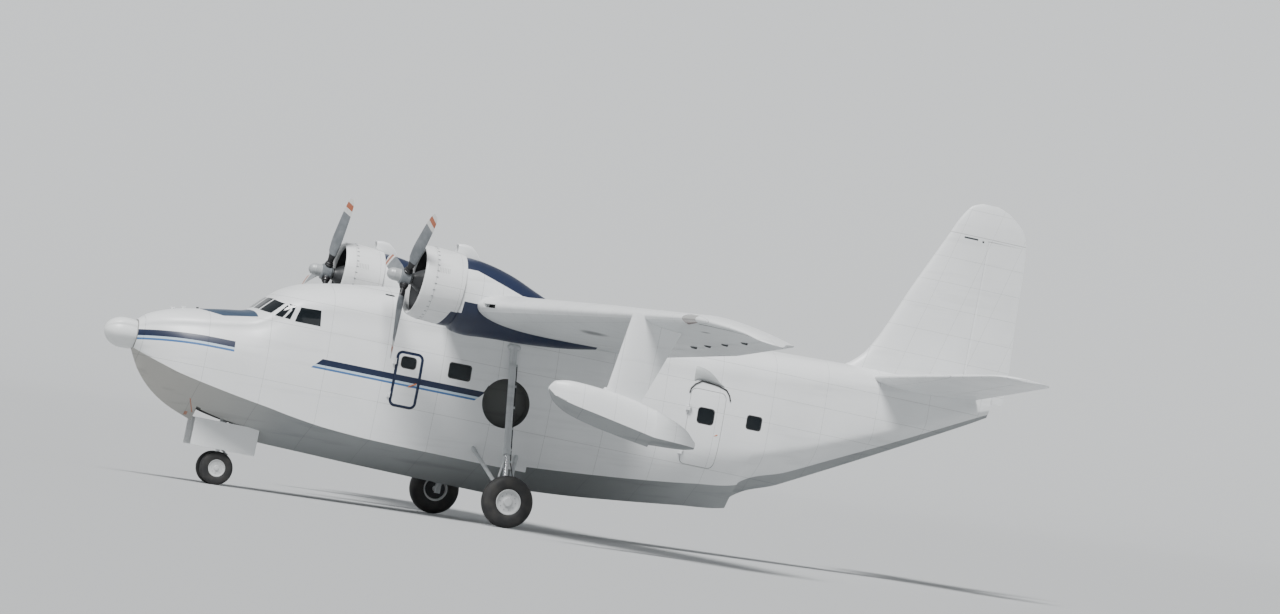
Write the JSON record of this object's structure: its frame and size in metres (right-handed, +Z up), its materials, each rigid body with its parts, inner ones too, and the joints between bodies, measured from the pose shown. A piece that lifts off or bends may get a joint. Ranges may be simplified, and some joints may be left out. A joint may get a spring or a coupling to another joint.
{
  "type": "amphibian flying boat",
  "caption": "High-wing amphibian flying boat with a stepped hull, radial engines in wing nacelles, wing floats, a tall fin and wheels that it stands on",
  "frame": {"origin": "on the ground, in the middle of the length and span", "axes": "+X forward, +Y to port, +Z up"},
  "size_m": [18.7631, 29.46, 7.8675],
  "materials": {
    "white_paint": "satin",
    "tyre": "matte",
    "glass": "clear",
    "engine": "matte",
    "propeller": "satin",
    "gear": "satin"
  },
  "bodies": {
    "airframe": {"cowl_port": "white_paint", "cowl_starboard": "white_paint", "engine_port": "engine", "engine_starboard": "engine", "fin": "white_paint", "float_port": "white_paint", "float_starboard": "white_paint", "float_strut_port": "white_paint", "float_strut_starboard": "white_paint", "glass_corner_port": "glass", "glass_corner_starboard": "glass", "glass_front_port": "glass", "glass_front_starboard": "glass", "glass_quarter_port": "glass", "glass_quarter_starboard": "glass", "glass_side_port": "glass", "glass_side_starboard": "glass", "hull_bow": "white_paint", "hull_centre": "white_paint", "hull_tail": "white_paint", "main_leg_port": "gear", "main_leg_starboard": "gear", "nacelle_port": "white_paint", "nacelle_starboard": "white_paint", "nose_gear_door_port": "white_paint", "nose_gear_door_starboard": "white_paint", "nose_leg": "gear", "nose_radome": "white_paint", "tailplane_port": "white_paint", "tailplane_starboard": "white_paint", "wing_centre": "white_paint", "wing_port": "white_paint", "wing_starboard": "white_paint"},
    "propeller_port": {"propeller_port": "propeller"},
    "propeller_starboard": {"propeller_starboard": "propeller"},
    "main_wheel_port": {"main_tyre_port": "tyre", "main_wheel_port": "gear"},
    "main_wheel_starboard": {"main_tyre_starboard": "tyre", "main_wheel_starboard": "gear"},
    "nose_fork": {"nose_fork": "gear"},
    "nose_wheels": {"nose_tyre_port": "tyre", "nose_tyre_starboard": "tyre", "nose_wheel_port": "gear", "nose_wheel_starboard": "gear"},
    "door_forward": {"door_forward": "white_paint"},
    "door_aft": {"door_aft": "white_paint"},
    "rudder": {"rudder": "white_paint"},
    "elevator_port": {"elevator_port": "white_paint"},
    "elevator_starboard": {"elevator_starboard": "white_paint"},
    "aileron_port": {"aileron_port": "white_paint"},
    "aileron_starboard": {"aileron_starboard": "white_paint"},
    "flap_inner_port": {"flap_inner_port": "white_paint"},
    "flap_inner_starboard": {"flap_inner_starboard": "white_paint"},
    "flap_outer_port": {"flap_outer_port": "white_paint"},
    "flap_outer_starboard": {"flap_outer_starboard": "white_paint"}
  },
  "joints": [
    {"name": "propeller_port_spin", "type": "hinge", "parent": "airframe", "child": "propeller_port", "pos_m": [4.35979, 3.1, 4.5256], "axis": [0.9936, 0, 0.1132], "continuous": true},
    {"name": "propeller_starboard_spin", "type": "hinge", "parent": "airframe", "child": "propeller_starboard", "pos_m": [4.35979, -3.1, 4.5256], "axis": [0.9936, 0, 0.1132], "continuous": true},
    {"name": "main_wheel_port_roll", "type": "hinge", "parent": "airframe", "child": "main_wheel_port", "pos_m": [1.56618, 2.69, 0.50889], "axis": [0, 1, 0], "continuous": true},
    {"name": "main_wheel_starboard_roll", "type": "hinge", "parent": "airframe", "child": "main_wheel_starboard", "pos_m": [1.56618, -2.69, 0.50889], "axis": [0, 1, 0], "continuous": true},
    {"name": "nose_wheel_steer", "type": "hinge", "parent": "airframe", "child": "nose_fork", "pos_m": [6.80274, 0, 0.32971], "axis": [-0.0523, 0, 0.9986], "range_deg": [-45, 45]},
    {"name": "nose_wheel_roll", "type": "hinge", "parent": "nose_fork", "child": "nose_wheels", "pos_m": [6.80274, 0, 0.32971], "axis": [0, 1, 0], "continuous": true},
    {"name": "door_forward_hinge", "type": "hinge", "parent": "airframe", "child": "door_forward", "pos_m": [3.81964, 1.266, 2.37438], "axis": [0.0523, 0, -0.9986], "range_deg": [0, 100]},
    {"name": "door_aft_hinge", "type": "hinge", "parent": "airframe", "child": "door_aft", "pos_m": [-2.30196, 1.166, 2.05356], "axis": [0.0523, 0, -0.9986], "range_deg": [0, 100]},
    {"name": "rudder_hinge", "type": "hinge", "parent": "airframe", "child": "rudder", "pos_m": [-8.48111, 0, 5.73522], "axis": [-0.0523, 0, 0.9986], "range_deg": [-25, 25]},
    {"name": "elevator_port_hinge", "type": "hinge", "parent": "airframe", "child": "elevator_port", "pos_m": [-7.91575, 2.36, 4.11892], "axis": [-0.0046, 0.9962, 0.087], "range_deg": [-20, 25]},
    {"name": "elevator_starboard_hinge", "type": "hinge", "parent": "airframe", "child": "elevator_starboard", "pos_m": [-7.91575, -2.36, 4.11892], "axis": [0.0046, 0.9962, -0.087], "range_deg": [-20, 25]},
    {"name": "aileron_port_hinge", "type": "hinge", "parent": "airframe", "child": "aileron_port", "pos_m": [0.08251, 10.69, 4.11554], "axis": [0.0357, 0.9988, 0.034], "range_deg": [-18, 18]},
    {"name": "aileron_starboard_hinge", "type": "hinge", "parent": "airframe", "child": "aileron_starboard", "pos_m": [0.08251, -10.69, 4.11554], "axis": [-0.0357, 0.9988, -0.034], "range_deg": [-18, 18]},
    {"name": "flap_inner_port_hinge", "type": "hinge", "parent": "airframe", "child": "flap_inner_port", "pos_m": [0.10822, 2.59, 3.89351], "axis": [-0.0046, -1, -0.0007], "range_deg": [0, 40]},
    {"name": "flap_inner_starboard_hinge", "type": "hinge", "parent": "airframe", "child": "flap_inner_starboard", "pos_m": [0.10822, -2.59, 3.89351], "axis": [0.0046, -1, 0.0007], "range_deg": [0, 40]},
    {"name": "flap_outer_port_hinge", "type": "hinge", "parent": "airframe", "child": "flap_outer_port", "pos_m": [0.02534, 6.175, 3.96166], "axis": [0.039, -0.9988, -0.0295], "range_deg": [0, 40]},
    {"name": "flap_outer_starboard_hinge", "type": "hinge", "parent": "airframe", "child": "flap_outer_starboard", "pos_m": [0.02534, -6.175, 3.96166], "axis": [-0.039, -0.9988, 0.0295], "range_deg": [0, 40]}
  ],
  "couplings": [
    {"joint": "elevator_starboard_hinge", "follows": "elevator_port_hinge", "ratio": 1},
    {"joint": "aileron_starboard_hinge", "follows": "aileron_port_hinge", "ratio": -1},
    {"joint": "flap_inner_starboard_hinge", "follows": "flap_inner_port_hinge", "ratio": 1},
    {"joint": "flap_outer_port_hinge", "follows": "flap_inner_port_hinge", "ratio": 1},
    {"joint": "flap_outer_starboard_hinge", "follows": "flap_inner_port_hinge", "ratio": 1}
  ]
}
